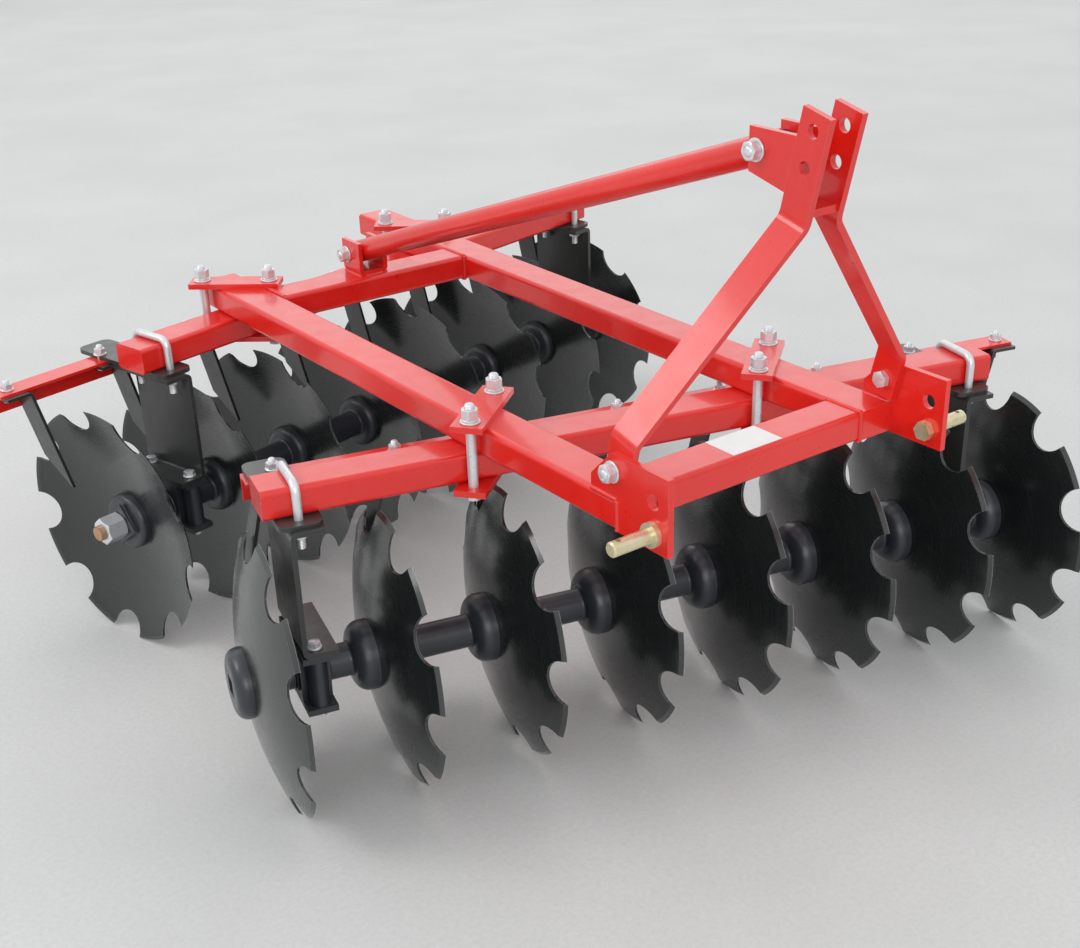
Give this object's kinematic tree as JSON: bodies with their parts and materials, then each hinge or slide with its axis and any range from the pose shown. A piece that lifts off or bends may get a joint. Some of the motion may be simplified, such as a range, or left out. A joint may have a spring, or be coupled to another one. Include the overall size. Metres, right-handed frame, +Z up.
{
  "type": "disc harrow",
  "caption": "Offset disc harrow for a tractor's three-point linkage: two angled gangs of notched dished discs that turn under a welded tube frame with scrapers and a mast.",
  "frame": {"origin": "on the floor, under the middle of the machine's box", "axes": "+X to the machine's left, +Y to its rear, +Z up; it is drawn towards -Y"},
  "size_m": [1.6154, 1.8053, 1.1118],
  "materials": {
    "red_paint": "gloss",
    "black_paint": "satin",
    "disc_black": "satin",
    "cast_black": "satin",
    "zinc": "bright",
    "yellow_zinc": "bright",
    "axle_steel": "satin"
  },
  "bodies": {
    "frame": {"frame_rail_right": "red_paint", "frame_rail_left": "red_paint", "frame_cross_tube_front": "red_paint", "frame_cross_tube_rear": "red_paint", "tube_end_caps": "red_paint", "hitch_plate_right": "red_paint", "hitch_plate_left": "red_paint", "lower_link_pin_right": "yellow_zinc", "lower_link_pin_left": "yellow_zinc", "mast_bar_right": "red_paint", "mast_bar_left": "red_paint", "mast_spacer": "red_paint", "mast_brace_lugs": "red_paint", "brace_tube": "red_paint", "brace_clevis": "red_paint", "mast_bolts": "zinc", "gang_beam_front": "red_paint", "gang_beam_rear": "red_paint", "clamp_plates": "red_paint", "clamp_bolts": "zinc", "hangers_front": "black_paint", "hangers_rear": "black_paint", "bearings_front": "cast_black", "bearings_rear": "cast_black", "hanger_u_bolts": "zinc", "bearing_bolts": "zinc", "scraper_arms_front": "black_paint", "scraper_arms_rear": "black_paint", "scraper_bar_front": "red_paint", "scraper_bar_rear": "red_paint", "scrapers_front": "black_paint", "scrapers_rear": "black_paint"},
    "front_gang": {"disc_front_1": "disc_black", "disc_front_2": "disc_black", "disc_front_3": "disc_black", "disc_front_4": "disc_black", "disc_front_5": "disc_black", "disc_front_6": "disc_black", "disc_front_7": "disc_black", "disc_front_8": "disc_black", "spools_front": "cast_black", "axle_front": "axle_steel", "end_bell_front": "cast_black", "end_washer_front": "cast_black", "end_nut_front": "zinc"},
    "rear_gang": {"disc_rear_1": "disc_black", "disc_rear_2": "disc_black", "disc_rear_3": "disc_black", "disc_rear_4": "disc_black", "disc_rear_5": "disc_black", "disc_rear_6": "disc_black", "disc_rear_7": "disc_black", "disc_rear_8": "disc_black", "spools_rear": "cast_black", "axle_rear": "axle_steel", "end_bell_rear": "cast_black", "end_washer_rear": "cast_black", "end_nut_rear": "zinc"}
  },
  "joints": [
    {"name": "front_gang_spin", "type": "hinge", "parent": "frame", "child": "front_gang", "pos_m": [-0.0376, -0.475, 0.23], "axis": [0.9703, -0.2419, 0], "continuous": true},
    {"name": "rear_gang_spin", "type": "hinge", "parent": "frame", "child": "rear_gang", "pos_m": [0.0594, 0.523, 0.23], "axis": [0.9703, 0.2419, 0], "continuous": true}
  ]
}
